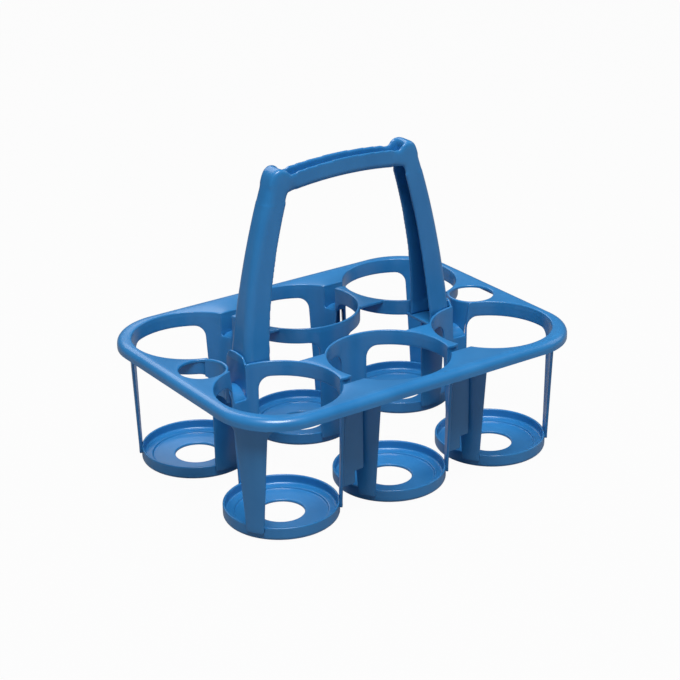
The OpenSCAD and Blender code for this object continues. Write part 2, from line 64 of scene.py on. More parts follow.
WALL = 2.0
RING_R = (ring_high.x - ring_low.x) / 2
BORE_R = RING_R - WALL
MID_R = RING_R - WALL / 2
PITCH = (corner_low.x + corner_high.x) / 2
ROW_Y = -(ring_low.y + ring_high.y) / 2
DECK_Z, UNDER_Z, BAND_Z = ring_high.z, deck_low.z, ring_low.z
DECK_HALF = deck_high.xy
SAUCER_R = (saucer_high.x - saucer_low.x) / 2
SAUCER_H = saucer_high.z
LEG_Z = box("leg_front_middle_left")[0].z

# Sizes in millimetres that only the looks need: how far one form runs into the next, then each form's own

LAP = 0.5
DECK_CORNER, DECK_CORNER_STEP = 44.5, 3
EDGE_R, SHELL_EDGE_R, ISLAND_EDGE_R, RIB_EDGE_R, COLUMN_EDGE_R = 1.0, 0.5, 0.85, 0.4, 0.6

# Legs: arches between them, and their widths at the band and at the foot
ARCH_R, LEG_FOOT_R = 9.5, 1.6
LEG_TURN = 58.2
LEG_TOP, LEG_FOOT = 27.0, 14.2
INNER_TOP, INNER_FOOT = 25.4, 20.0

# Notches: beside the post webs, and between the sockets and the finger holes
NOTCH_TOP_R, NOTCH_FLOOR_R = 1.2, 2.0
BRIDGE_OUT, BRIDGE_IN, FILLER_IN = 15.0, 31.1, 24.9
BRIDGE_CREST, BRIDGE_EDGE_R = 1.0, 0.1
SIDE_FLOOR, SIDE_CREST, SIDE_CREST_R = 86.0, 88.0, 10.9
SADDLE_OUT, SADDLE_IN, SIDE_SADDLE_LAP = 1.5, 1.0, 0.2
SIDE_SADDLE_CELLS, END_SADDLE_CELLS = (10, 4), (6, 16)
END_FLOOR, END_CREST, END_CREST_R = 77.3, 85.0, 16.2
END_FOOT_X, END_DECK_X, END_DECK_LAP = 112.2, 115.5, 0.9
END_SADDLE_HALF, END_SADDLE_LAP, HOLE_SADDLE_LAP = 11.0, 0.6, 0.4

# Post webs
WEB_STEP_W, WEB_STEP_Z, WEB_CORNER_R = 7.9, 32.0, 1.5
WEB_LAP, WEB_RISES = 1.0, 12

# Sockets and finger holes
COLUMN_WALL, FOOT_PLAY = 1.8, 0.3
COLUMN_X = foot_high.x + FOOT_PLAY + COLUMN_WALL
COLUMN_DROP, COLUMN_TURN = 2.0, 60
LIP_H, LIP_HALF, LIP_SINK = 6.0, 12.6, 0.1
LIP_SHOULDER, LIP_FALL = 3.0, 1.2
LIP_FOOT_R, LIP_SHOULDER_R, LIP_CREST_R = 2.0, 4.0, 60.0
SHELF_STEPS = 8
HOLE_OFF, HOLE_R = 28.65, 18.0
HOLE_X = PITCH + HOLE_OFF
HOLE_WALL, HOLE_WALL_LOW = 2.2, 76.9
HOLE_TURN, HOLE_GAP, HOLE_LAP = 52, 0.02, 0.6
HOLE_FLAT, HOLE_RISE_W, HOLE_RISE_H = 11.3, 4.7, 14.5
FINGER_WALL_CELLS = (40, 6)

# Handle: the skin's cell, how it is smoothed, and the stretch of each shoulder that is blended
SKIN_CELL, SKIN_ROUNDS, SMOOTHING = 0.8, 10, 0.5
SHOULDER_IN, SHOULDER_OUT, SHOULDER_LOW, SHOULDER_ROUNDS = 45.0, 76.0, 226.0, 30

# Saucers
DRAIN_R, WELL_R, HEEL_R = 17.95, 36.0, 3.0
FLOOR_T, LEDGE_H, BRIM_WALL = 2.3, 1.4, 1.8
BRIM_EDGE_R, BRIM_FOOT_R, WELL_EDGE_R, WELL_FOOT_R = 0.8, 1.4, 0.6, 0.9
DRAIN_LOW_R, DRAIN_TOP_R = 0.6, 0.8
SAUCER_TURNS, SAUCER_STEPS = 96, 150

# Seam of an unrolled cup in degrees, and the cells of its mesh in millimetres
SEAM = 110.0
SHELL_DROP = 1.7
SHELL_TOP = DECK_Z - SHELL_DROP
CELL, CELL_H, CELL_ROWS = 3.5, 5.0, 20
SEAM_POINTS = (BAND_Z + 4.0, BAND_Z + 7.5)

# Limits of the outlines: shortest run, share of a side that a round takes, and least mitre
SHORTEST, TWIN = 1e-6, 1e-4
ROUND_SHARE, LEAST_MITRE = 0.49, 0.4
# Distances in metres below which points are one
MERGE, SKIN_MERGE, TURN_MERGE = 2e-6, 1e-6, 1e-5
# Distance in millimetres below which an unrolled cup's points are one
CELL_MERGE = 1e-5
SHARP = math.radians(40)

# Finishes: main, pale and deep colour and roughness
RACK_BLUE = (0.026, 0.212, 0.520), (0.033, 0.236, 0.560), (0.020, 0.192, 0.484), 0.30
HANDLE_BLUE = (0.025, 0.204, 0.505), (0.032, 0.228, 0.545), (0.019, 0.184, 0.470), 0.34
FLOOR_GREY = (0.34, 0.35, 0.36, 1.0)
WHITE = (1.0, 1.0, 1.0, 1.0)
FLOOR_WHITE, WORLD_LIGHT = 0.96, 0.10

# Stage in metres: lamps as name, place, aim, size and watts, then the camera
FLOOR_HALF = 6.0
LAMPS = (
    ("key", (-0.45, -0.75, 2.4), (0, 0, 0.05), (1.1, 1.1), 66),
    ("fill", (1.8, -0.4, 1.2), (0, 0, 0.1), (1.2, 1.2), 6),
    ("rear", (0.2, 1.9, 1.6), (0, 0, 0.1), (1.8, 1.0), 12))
CAMERA_AZIMUTH, CAMERA_ELEVATION, CAMERA_ROLL = -34.616, 23.0025, -0.779
CAMERA_TARGET, CAMERA_DISTANCE = Vector((47.18, 72.14, 60.0)), 1626.5
CAMERA_SENSOR, CAMERA_LENS = 36, 101.87
CAMERA_NEAR, CAMERA_FAR = 0.01, 50


# Shader maths

class Graph:
    """Node tree, with one method that makes any node."""

    def __init__(self, tree):
        self.tree = tree
        tree.nodes.clear()

    def node(self, kind, settings=None, **inputs):
        made = self.tree.nodes.new(kind)
        for key, value in (settings or {}).items():
            if key == "stops":
                ramp = made.color_ramp
                while len(ramp.elements) < len(value):
                    ramp.elements.new(0.5)
                for element, (place, colour) in zip(ramp.elements, value):
                    element.position = place
                    element.color = (*colour, 1.0)
            else:
                setattr(made, key, value)
        for key, value in inputs.items():
            self.feed(made.inputs[key.replace("_", " ")], value)
        return made

    def feed(self, socket, value):
        if isinstance(value, Wire):
            self.tree.links.new(value.socket, socket)
        elif isinstance(value, bpy.types.NodeSocket):
            self.tree.links.new(value, socket)
        else:
            socket.default_value = value

    def maths(self, operation, *values):
        made = self.node("ShaderNodeMath", {"operation": operation})
        for socket, value in zip(made.inputs, values):
            self.feed(socket, value)
        return Wire(self, made.outputs[0])

    def wire(self, kind, output, settings=None, **inputs):
        return Wire(self, self.node(kind, settings, **inputs).outputs[output])


class Wire:
    """A number socket that takes part in Python expressions."""

    def __init__(self, graph, socket):
        self.graph = graph
        self.socket = socket

    def __add__(self, other):
        return self.graph.maths("ADD", self, other)

    __radd__ = __add__

    def __sub__(self, other):
        return self.graph.maths("SUBTRACT", self, other)

    def __rsub__(self, other):
        return self.graph.maths("SUBTRACT", other, self)

    def __mul__(self, other):
        return self.graph.maths("MULTIPLY", self, other)

    __rmul__ = __mul__

    def clamp(self):
        return self.graph.maths("MINIMUM", self.graph.maths("MAXIMUM", self, 0.0), 1.0)


# Finishes

def moulded_plastic(name, colour, pale, deep, roughness):
    """Glossy polypropylene: faint flow mottling, a fine moulded grain and a few soft scuffs."""
    material = bpy.data.materials.new(name)
    material.use_nodes = True
    g = Graph(material.node_tree)
    place = g.node("ShaderNodeTexCoord").outputs["Object"]
    flow = g.wire("ShaderNodeTexNoise", "Fac", Vector=place, Scale=22.0, Detail=3.0, Roughness=0.5)
    stretched = g.wire("ShaderNodeMapping", "Vector", Vector=place, Scale=(1.0, 1.0, 0.25))
    streak = g.wire("ShaderNodeTexNoise", "Fac", Vector=stretched, Scale=95.0, Detail=2.0)
    grain = g.wire("ShaderNodeTexNoise", "Fac", Vector=place, Scale=2600.0, Detail=2.0)
    peel = g.wire("ShaderNodeTexNoise", "Fac", Vector=place, Scale=210.0, Detail=1.0)
    scuff = g.wire("ShaderNodeTexNoise", "Fac", Vector=place, Scale=38.0, Detail=5.0, Roughness=0.7)
    mottle = (flow * 0.7 + streak * 0.3).clamp()
    tint = g.node("ShaderNodeValToRGB", {"stops": [(0.32, deep), (0.5, colour), (0.7, pale)]}, Fac=mottle)
    dull = ((scuff - 0.55) * 1.6).clamp()
    rough = roughness + (flow - 0.5) * 0.08 + dull * 0.12
    height = peel * 0.6 + grain * 0.25
    bump = g.node("ShaderNodeBump", Height=height, Strength=0.10, Distance=0.0004)
    shader = g.node(
        "ShaderNodeBsdfPrincipled", Base_Color=tint.outputs["Color"], Roughness=rough, IOR=1.5,
        Normal=bump.outputs["Normal"], Coat_Weight=0.25, Coat_Roughness=0.12)
    g.node("ShaderNodeOutputMaterial", Surface=shader.outputs["BSDF"])
    return material


rack_plastic = moulded_plastic("rack_plastic_moulded", *RACK_BLUE)
handle_plastic = moulded_plastic("handle_plastic_moulded", *HANDLE_BLUE)


def in_handle(name):
    return name.startswith(("grip", "shoulder", "handle"))


def dress_nodes():
    for name, obj in nodes.items():
        if not obj.material_slots:
            obj.data.materials.append(None)
        for place in obj.material_slots:
            place.link = "OBJECT"
            place.material = handle_plastic if in_handle(name) else rack_plastic


# Outlines

def arc(centre, radius, start, end, step=4.0):
    """Points on an arc, from one angle to the other in degrees."""
    count = max(2, math.ceil(abs(end - start) / step))
    angles = [math.radians(start + (end - start) * i / count) for i in range(count + 1)]
    return [Vector((centre[0] + radius * math.cos(a), centre[1] + radius * math.sin(a))) for a in angles]


def soften(corners, closed=True, step=15.0):
    """Outline through corners (x, y, radius), each with its round."""
    points = []
    count = len(corners)
    for i, (x, y, radius) in enumerate(corners):
        here = Vector((x, y))
        if radius == 0 or (not closed and i in (0, count - 1)):
            points.append(here)
            continue
        back = Vector(corners[i - 1][:2]) - here
        ahead = Vector(corners[(i + 1) % count][:2]) - here
        half = back.angle(ahead) / 2
        reach = min(radius / math.tan(half), ROUND_SHARE * back.length, ROUND_SHARE * ahead.length)
        radius = reach * math.tan(half)
        back.normalize()
        ahead.normalize()
        centre = here + (back + ahead).normalized() * radius / math.sin(half)
        start = here + back * reach - centre
        sweep = here + ahead * reach - centre
        turn = math.degrees(math.atan2(start.cross(sweep), start.dot(sweep)))
        first = math.degrees(math.atan2(start.y, start.x))
        points += arc(centre, radius, first, first + turn, step)
    return points


def divide(points, longest):
    """The same line with no stretch longer than given."""
    out = [points[0]]
    for here, there in zip(points, points[1:]):
        count = max(1, math.ceil((there - here).length / longest))
        out += [here.lerp(there, i / count) for i in range(1, count + 1)]
    return out


def inset(points, distance, closed=True):
    """The line moved to its left by a distance."""
    out = []
    count = len(points)
    for i, here in enumerate(points):
        before = points[i - 1] if closed or i > 0 else None
        after = points[(i + 1) % count] if closed or i < count - 1 else None
        sides = []
        for start, end in ((before, here), (here, after)):
            if start is not None and end is not None and (end - start).length > SHORTEST:
                run = (end - start).normalized()
                sides.append(Vector((-run.y, run.x)))
        way = sum(sides, Vector((0, 0))).normalized()
        out.append(here + way * distance / max(LEAST_MITRE, way.dot(sides[0])))
    return out


def unique(loop):
    """The loop without points that lie on the next one."""
    return [here for here, there in zip(loop, loop[1:] + loop[:1]) if (here - there).length > TWIN]


def oriented(loop, solid):
    """The loop turned so that its material is on the left: inside it for a solid, outside for a hole."""
    area = sum(here.cross(there) for here, there in zip(loop, loop[1:] + loop[:1]))
    return loop if (area > 0) == solid else loop[::-1]


def four_fold(path):
    """Closed loop from its stretch in the quarter where x and y are positive, started on the Y axis."""
    right = path + [Vector((p.x, -p.y)) for p in reversed(path)]
    return unique(right + [Vector((-p.x, p.y)) for p in reversed(right)])


def rounded_rectangle(half, radius):
    loop = []
    for turn, sx, sy in ((0, 1, 1), (90, -1, 1), (180, -1, -1), (270, 1, -1)):
        centre = sx * (half.x - radius), sy * (half.y - radius)
        loop += arc(centre, radius, turn, turn + 90, DECK_CORNER_STEP)
    return unique(loop)


def round_steps(radius, count=3):
    """Pairs of inset and drop down a rounded edge."""
    turns = [math.pi / 2 * i / count for i in range(count + 1)]
    return [(radius * (1 - math.sin(t)), radius * (1 - math.cos(t))) for t in turns]


# Solids

def strip(first, second, count, closed=True):
    """Faces between two lines of points, given the number of each line's first point."""
    last = count if closed else count - 1
    return [(first + i, first + (i + 1) % count, second + (i + 1) % count, second + i) for i in range(last)]


def as_drawn(x, y, z):
    return x, y, z


def slab(loops, low, high, low_r=0.0, place=as_drawn):
    """Flat solid between two heights, from loops with material on their left and each one's edge radius."""
    verts, faces, tops, lows = [], [], [], []
    for loop, top_r in loops:
        steps = [(d, high - drop) for d, drop in round_steps(top_r)] if top_r else [(0.0, high)]
        steps += [(d, low + drop) for d, drop in reversed(round_steps(low_r))] if low_r else [(0.0, low)]
        starts = []
        for distance, height in steps:
            starts.append(len(verts))
            verts += [place(p.x, p.y, height) for p in inset(loop, distance)]
        for first, second in zip(starts, starts[1:]):
            faces += strip(first, second, len(loop))
        tops.append((starts[0], inset(loop, steps[0][0])))
        lows.append((starts[-1], inset(loop, steps[-1][0])))
    for ends in (tops, lows):
        index = [start + i for start, ring in ends for i in range(len(ring))]
        flat = tessellate_polygon([[p.to_3d() for p in ring] for start, ring in ends])
        faces += [tuple(index[i] for i in face) for face in flat]
    return verts, faces


def sheet(point, count_u, count_v):
    """Closed sheet over a grid: point(u, v, side) for u and v from 0 to 1 and side 0 or 1."""
    top, low = [
        [point(i / count_u, j / count_v, side) for i in range(count_u + 1) for j in range(count_v + 1)]
        for side in (0, 1)]
    row, under = count_v + 1, len(top)
    faces = []
    for i in range(count_u):
        for j in range(count_v):
            a = i * row + j
            b = under + a
            faces += [(a, a + row, a + row + 1, a + 1), (b, b + 1, b + row + 1, b + row)]
    border = [j for j in range(row)] + [i * row + count_v for i in range(1, count_u + 1)]
    border += [count_u * row + j for j in range(count_v - 1, -1, -1)]
    border += [i * row for i in range(count_u - 1, 0, -1)]
    for here, there in zip(border, border[1:] + border[:1]):
        faces.append((here, there, under + there, under + here))
    return top + low, faces


def joined(*parts):
    verts, faces = [], []
    for part_verts, part_faces in parts:
        faces += [tuple(i + len(verts) for i in face) for face in part_faces]
        verts += part_verts
    return verts, faces


def mirrored(part, sx, sy):
    verts, faces = part
    return [(x * sx, y * sy, z) for x, y, z in verts], faces


def linked(name, mesh):
    made = bpy.data.objects.new(name, mesh)
    bpy.context.scene.collection.objects.link(made)
    return made


def piece(name, verts, faces, material, *replaced):
    """Closed mesh piece in metres, merged, with outward normals and smooth faces between sharp edges."""
    mesh = bpy.data.meshes.new(name)
    mesh.from_pydata([Vector(v) * MM for v in verts], [], faces)
    drawn = bmesh.new()
    drawn.from_mesh(mesh)
    bmesh.ops.remove_doubles(drawn, verts=drawn.verts, dist=MERGE)
    bmesh.ops.recalc_face_normals(drawn, faces=drawn.faces)
    drawn.to_mesh(mesh)
    drawn.free()
    mesh.shade_smooth()
    mesh.set_sharp_from_angle(angle=SHARP)
    mesh.materials.append(material)
    made = linked(name, mesh)
    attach(made, "root")
    if replaced:
        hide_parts(*replaced)


def evaluated(obj):
    """Points in millimetres and faces of an object after its modifiers; the object itself goes."""
    bpy.context.view_layer.update()
    mesh = bpy.data.meshes.new_from_object(obj.evaluated_get(bpy.context.evaluated_depsgraph_get()))
    verts = [v.co / MM for v in mesh.vertices]
    faces = [tuple(face.vertices) for face in mesh.polygons]
    bpy.data.objects.remove(obj)
    bpy.data.meshes.remove(mesh)
    return verts, faces


# Handle: grip, shoulders, legs and feet as one skin

def handle_skin(names):
    """The handle's solids made one closed skin with softened edges."""
    verts, faces = [], []
    for name in names:
        node = nodes[name]
        faces += [tuple(i + len(verts) for i in face.vertices) for face in node.data.polygons]
        verts += [node.matrix_world @ v.co for v in node.data.vertices]
    mesh = bpy.data.meshes.new("handle_rough")
    mesh.from_pydata(verts, [], faces)
    merged = bmesh.new()
    merged.from_mesh(mesh)
    bmesh.ops.remove_doubles(merged, verts=merged.verts, dist=SKIN_MERGE)
    merged.to_mesh(mesh)
    merged.free()
    rough = linked("handle_rough", mesh)
    whole = rough.modifiers.new("one_skin", "REMESH")
    whole.mode = "VOXEL"
    whole.voxel_size = SKIN_CELL * MM
    soft = rough.modifiers.new("soft_edges", "SMOOTH")
    soft.factor = SMOOTHING
    soft.iterations = SKIN_ROUNDS
    return evaluated(rough)


def blend_shoulders(verts, faces):
    """The skin with each shoulder smoothed into the grip and the leg."""
    skin = bmesh.new()
    made = [skin.verts.new(v) for v in verts]
    for face in faces:
        skin.faces.new([made[i] for i in face])
    shoulders = [v for v in made if SHOULDER_IN < abs(v.co.x) < SHOULDER_OUT and v.co.z > SHOULDER_LOW]
    for _ in range(SHOULDER_ROUNDS):
        bmesh.ops.smooth_vert(
            skin, verts=shoulders, factor=SMOOTHING, use_axis_x=True, use_axis_y=True, use_axis_z=True)
    blended = [v.co.copy() for v in made]
    skin.free()
    return blended, faces


def make_handle():
    names = [name for name in nodes if in_handle(name)]
    piece("handle_moulding", *blend_shoulders(*handle_skin(names)), handle_plastic, *names)


# Saucers: one profile turned round and set under all six cups

def saucer_profile():
    """Closed section of a saucer: drain hole, round heel, thin brim, ledge and sunk floor."""
    brim, ledge = SAUCER_R - BRIM_WALL, FLOOR_T + LEDGE_H
    return soften([
        (DRAIN_R, 0, DRAIN_LOW_R), (SAUCER_R, 0, HEEL_R), (SAUCER_R, SAUCER_H, BRIM_EDGE_R),
        (brim, SAUCER_H, BRIM_EDGE_R), (brim, ledge, BRIM_FOOT_R), (WELL_R, ledge, WELL_EDGE_R),
        (WELL_R, FLOOR_T, WELL_FOOT_R), (DRAIN_R, FLOOR_T, DRAIN_TOP_R)])


def saucer_tree():
    """Nodes that turn a profile round the Z axis and copy it to every cup, and their inputs' identifiers."""
    tree = bpy.data.node_groups.new("saucer_set", "GeometryNodeTree")
    tree.interface.new_socket("Geometry", in_out="OUTPUT", socket_type="NodeSocketGeometry")
    tree.interface.new_socket("Profile", in_out="INPUT", socket_type="NodeSocketGeometry")
    inputs = {}
    for name, kind in (
            ("Cup pitch", "Float"), ("Row pitch", "Float"), ("Turns", "Int"), ("Steps", "Int"),
            ("Finish", "Material")):
        made = tree.interface.new_socket(name, in_out="INPUT", socket_type="NodeSocket" + kind)
        inputs[name] = made.identifier
    g = Graph(tree)
    given = g.node("NodeGroupInput").outputs
    grid = g.node(
        "GeometryNodeMeshGrid", Size_X=1.0, Size_Y=1.0,
        Vertices_X=Wire(g, given["Turns"]) + 1, Vertices_Y=Wire(g, given["Steps"]) + 1)
    spot = g.node("ShaderNodeSeparateXYZ", Vector=g.node("GeometryNodeInputPosition").outputs["Position"])
    turn = (Wire(g, spot.outputs["X"]) + 0.5) * (2 * math.pi)
    line = g.node("GeometryNodeMeshToCurve", Mesh=given["Profile"])
    taken = g.node(
        "GeometryNodeSampleCurve", {"mode": "FACTOR"}, Curves=line.outputs["Curve"],
        Factor=Wire(g, spot.outputs["Y"]) + 0.5)
    section = g.node("ShaderNodeSeparateXYZ", Vector=taken.outputs["Position"])
    radius = Wire(g, section.outputs["X"])
    place = g.node(
        "ShaderNodeCombineXYZ", X=radius * g.maths("COSINE", turn), Y=radius * g.maths("SINE", turn),
        Z=section.outputs["Z"])
    ring = g.node(
        "GeometryNodeSetPosition", Geometry=grid.outputs["Mesh"], Position=place.outputs["Vector"])
    closed = g.node(
        "GeometryNodeMergeByDistance", Geometry=ring.outputs["Geometry"], Distance=TURN_MERGE)
    spots = g.node(
        "GeometryNodeMeshGrid", Size_X=Wire(g, given["Cup pitch"]) * 2, Size_Y=given["Row pitch"],
        Vertices_X=3, Vertices_Y=2)
    copies = g.node(
        "GeometryNodeInstanceOnPoints", Points=spots.outputs["Mesh"], Instance=closed.outputs["Geometry"])
    solid = g.node("GeometryNodeRealizeInstances", Geometry=copies.outputs["Instances"])
    done = g.node("GeometryNodeSetMaterial", Geometry=solid.outputs["Geometry"], Material=given["Finish"])
    g.node("NodeGroupOutput", Geometry=done.outputs["Geometry"])
    return tree, inputs


def make_saucers():
    profile = saucer_profile()
    mesh = bpy.data.meshes.new("saucer_profile")
    edges = [(i, (i + 1) % len(profile)) for i in range(len(profile))]
    mesh.from_pydata([(p.x * MM, 0, p.y * MM) for p in profile], edges, [])
    source = linked("saucer_profile", mesh)
    tree, inputs = saucer_tree()
    modifier = source.modifiers.new("saucer_set", "NODES")
    modifier.node_group = tree
    for name, value in (
            ("Cup pitch", PITCH * MM), ("Row pitch", 2 * ROW_Y * MM), ("Turns", SAUCER_TURNS),
            ("Steps", SAUCER_STEPS), ("Finish", rack_plastic)):
        modifier[inputs[name]] = value
    piece("saucers", *evaluated(source), rack_plastic, *[n for n in nodes if n.startswith("saucer")])


# Cups: band and three legs in one shell

def shell_radius(z):
    """Outer radius of a cup, which tapers from the band to the saucer's brim."""
    share = min(1.0, max(0.0, (z - SAUCER_H) / (BAND_Z - SAUCER_H)))
    return SAUCER_R + WALL + (RING_R - SAUCER_R - WALL) * share


def along(angle):
    """Place on the unrolled band of an angle in degrees, measured from the rack's outer side."""
    return math.radians(angle) * RING_R


def notch(start_top, start_low, end_low, end_top, floor):
    return [
        (along(start_top), SHELL_TOP, NOTCH_TOP_R), (along(start_low), floor, NOTCH_FLOOR_R),
        (along(end_low), floor, NOTCH_FLOOR_R), (along(end_top), SHELL_TOP, NOTCH_TOP_R)]


def upper_edge(end_cup):
    """Top of an unrolled cup with its notches: an end cup has one beside its post and one at its socket."""
    near = math.degrees(math.acos(FILLER_IN / MID_R))
    far = math.degrees(math.acos(BRIDGE_OUT / MID_R))
    edge = [(along(SEAM), SHELL_TOP, 0)]
    if end_cup:
        deck = 180 - math.degrees(math.asin((END_DECK_X - PITCH) / MID_R))
        foot = 180 - math.degrees(math.asin((END_FOOT_X - PITCH) / MID_R))
        column = 180 + math.degrees(math.asin((PITCH - COLUMN_X) / MID_R))
        edge += notch(deck, foot, column, column, END_FLOOR)
    edge += notch(360 - far, 360 - far, 360 - near, 360 - near, SIDE_FLOOR)
    if not end_cup:
        edge += notch(360 + near, 360 + near, 360 + far, 360 + far, SIDE_FLOOR)
    return edge + [(along(SEAM + 360), SHELL_TOP, 0)]


def lower_edge():
    """Bottom of an unrolled cup: the band's lower edge, arched down into three tapered legs."""
    edge = [(along(SEAM), BAND_Z, 0)]
    for turn, top, foot in (
            (180, INNER_TOP, INNER_FOOT), (360 - LEG_TURN, LEG_TOP, LEG_FOOT),
            (360 + LEG_TURN, LEG_TOP, LEG_FOOT)):
        wide = math.degrees(math.asin(top / 2 / RING_R))
        slim = math.degrees(math.asin(foot / 2 / (SAUCER_R + WALL)))
        edge += [
            (along(turn - wide), BAND_Z, ARCH_R), (along(turn - slim), LEG_Z, LEG_FOOT_R),
            (along(turn + slim), LEG_Z, LEG_FOOT_R), (along(turn + wide), BAND_Z, ARCH_R)]
    return edge + [(along(SEAM + 360), BAND_Z, 0)]


def cup_shell(end_cup):
    """The unrolled shell: points (along, height, depth) and faces."""
    upper = divide(soften(upper_edge(end_cup), closed=False), CELL)
    lower = divide(soften(lower_edge(), closed=False), CELL)
    profile = round_steps(SHELL_EDGE_R)
    profile += [(d, WALL - depth) for d, depth in reversed(profile)]
    verts, faces = [], []
    for line, side in ((upper, -1), (lower, 1)):
        starts = []
        for distance, depth in profile:
            starts.append(len(verts))
            verts += [(p.x, p.y, depth) for p in inset(line, side * distance, closed=False)]
        for first, second in zip(starts, starts[1:]):
            faces += strip(first, second, len(line), closed=False)
    top = inset(upper, -SHELL_EDGE_R, closed=False)
    low = inset(lower, SHELL_EDGE_R, closed=False)
    right = [Vector((along(SEAM + 360), z)) for z in reversed(SEAM_POINTS)]
    left = [Vector((along(SEAM), z)) for z in SEAM_POINTS]
    border = top + right + low[::-1] + left
    inner = [
        Vector((along(SEAM) + CELL * i, LEG_Z + CELL_H * j))
        for i in range(1, int(along(360) / CELL)) for j in range(CELL_ROWS)]
    flat = delaunay_2d_cdt(border + inner, [], [list(range(len(border)))], 1, CELL_MERGE)
    for depth in (0.0, WALL):
        base = len(verts)
        verts += [(p.x, p.y, depth) for p in flat[0]]
        faces += [tuple(base + i for i in face) for face in flat[2]]
    return verts, faces


def make_cups():
    for end_cup in (False, True):
        unrolled, faces = cup_shell(end_cup)
        for row, side in ((-1, "front"), (1, "back")):
            for column, place in ((-1, "left"), (1, "right")) if end_cup else ((0, "middle"),):
                turn = column or 1
                verts = []
                for x, z, depth in unrolled:
                    angle = x / RING_R
                    radius = shell_radius(z) - depth
                    verts.append((
                        column * PITCH + turn * radius * math.sin(angle),
                        row * (ROW_Y + radius * math.cos(angle)), z))
                legs = [n for n in nodes if n.startswith(f"leg_{side}_{place}_")]
                piece(f"cup_{side}_{place}", verts, faces, rack_plastic, f"ring_{side}_{place}", *legs)


# Top plates

def void_edge():
    """Edge of the deck round all six bores and the notches between them."""
    tip = math.degrees(math.asin(FILLER_IN / BORE_R))
    fall = math.degrees(math.acos((END_DECK_X - PITCH) / BORE_R))
    outer = HOLE_R + HOLE_WALL
    wall = math.degrees(math.acos((HOLE_X - END_DECK_X - END_DECK_LAP) / outer))
    path = arc((0, ROW_Y), BORE_R, 90, tip)
    path += arc((PITCH, ROW_Y), BORE_R, 180 - tip, -fall)
    path += arc((HOLE_X, 0), outer, 180 - wall, 180)
    return four_fold(path)


def island_edges():
    """Outer and inner edge of the plate that joins the inner sides of the rings."""
    tip = math.degrees(math.asin(BRIDGE_OUT / BORE_R))
    column = math.degrees(math.asin((PITCH - COLUMN_X + LAP) / BORE_R))
    crest = Vector((PITCH / 2, ROW_Y + BRIDGE_OUT + BRIDGE_CREST))
    outer = arc((0, ROW_Y), BORE_R, -90, tip) + [crest]
    outer += arc((PITCH, ROW_Y), BORE_R, 180 - tip, 270 - column)
    shore = math.degrees(math.asin(BRIDGE_IN / RING_R))
    face = COLUMN_X - COLUMN_WALL
    inside = math.degrees(math.asin((PITCH - face) / RING_R))
    inner = arc((0, ROW_Y), RING_R, -90, -shore)
    inner += arc((PITCH, ROW_Y), RING_R, 180 + shore, 270 - inside)
    return four_fold(outer), four_fold(inner)


def make_plates():
    holes = [void_edge()] + [unique(arc((side * HOLE_X, 0), HOLE_R, 0, 360)) for side in (-1, 1)]
    border = oriented(rounded_rectangle(DECK_HALF, DECK_CORNER), True)
    loops = [(border, 0.0)] + [(oriented(hole, False), EDGE_R) for hole in holes]
    piece("deck_top", *slab(loops, UNDER_Z, DECK_Z), rack_plastic, "deck_plate")
    outer, inner = island_edges()
    loops = [(oriented(outer, True), ISLAND_EDGE_R), (oriented(inner, False), ISLAND_EDGE_R)]
    piece("inner_plate", *slab(loops, UNDER_Z, DECK_Z), rack_plastic)


# Posts between two cups: a web below, a wall and an arched floor under each bridge

def bridge_wall():
    """Wall under a bridge plate, between the two bands."""
    y_in = BRIDGE_OUT - WALL
    reach_out = math.sqrt(MID_R ** 2 - BRIDGE_OUT ** 2)
    reach_in = math.sqrt(MID_R ** 2 - y_in ** 2)
    loop = [
        Vector((reach_in, ROW_Y + y_in)), Vector((PITCH - reach_in, ROW_Y + y_in)),
        Vector((PITCH - reach_out, ROW_Y + BRIDGE_OUT)), Vector((reach_out, ROW_Y + BRIDGE_OUT))]
    return slab([(oriented(loop, True), BRIDGE_EDGE_R)], SIDE_FLOOR, UNDER_Z + LAP)


def side_saddle(u, v, side):
    """Arched floor of a side notch, from one cup to the next."""
    start = BRIDGE_OUT - SADDLE_OUT
    y = start + (FILLER_IN + SADDLE_IN - start) * v
    half = PITCH / 2 - math.sqrt((MID_R - SIDE_SADDLE_LAP) ** 2 - y * y)
    x = half * (2 * u - 1)
    z = SIDE_CREST - SIDE_CREST_R + math.sqrt(SIDE_CREST_R ** 2 - x * x) - WALL * side
    return PITCH / 2 + x, ROW_Y + y, z


def post_web():
    """Rib in a post, from one cup's outer leg almost to the next, closed to both above the notch floor."""
    inside = FILLER_IN + WALL / 2

    def leg_x(z):
        return math.sqrt((shell_radius(z) - WEB_LAP) ** 2 - inside ** 2)

    high = UNDER_Z + LAP
    shut = SIDE_FLOOR - WEB_LAP
    edge_x = web_high.x
    step_x = edge_x - WEB_STEP_W
    heights = [web_low.z + (high - web_low.z) * i / WEB_RISES for i in range(WEB_RISES + 1)]
    outline = [(leg_x(z), z, 0) for z in reversed(heights)] + [
        (step_x, web_low.z, WEB_CORNER_R), (step_x, WEB_STEP_Z, WEB_CORNER_R),
        (edge_x, WEB_STEP_Z, WEB_CORNER_R), (edge_x, shut, RIB_EDGE_R),
        (PITCH - leg_x(SIDE_FLOOR), shut, 0), (PITCH - leg_x(high), high, 0)]
    loop = oriented(soften(outline), True)
    near = ROW_Y + FILLER_IN
    return slab([(loop, RIB_EDGE_R)], near, near + WALL, RIB_EDGE_R, lambda x, z, y: (x, y, z))


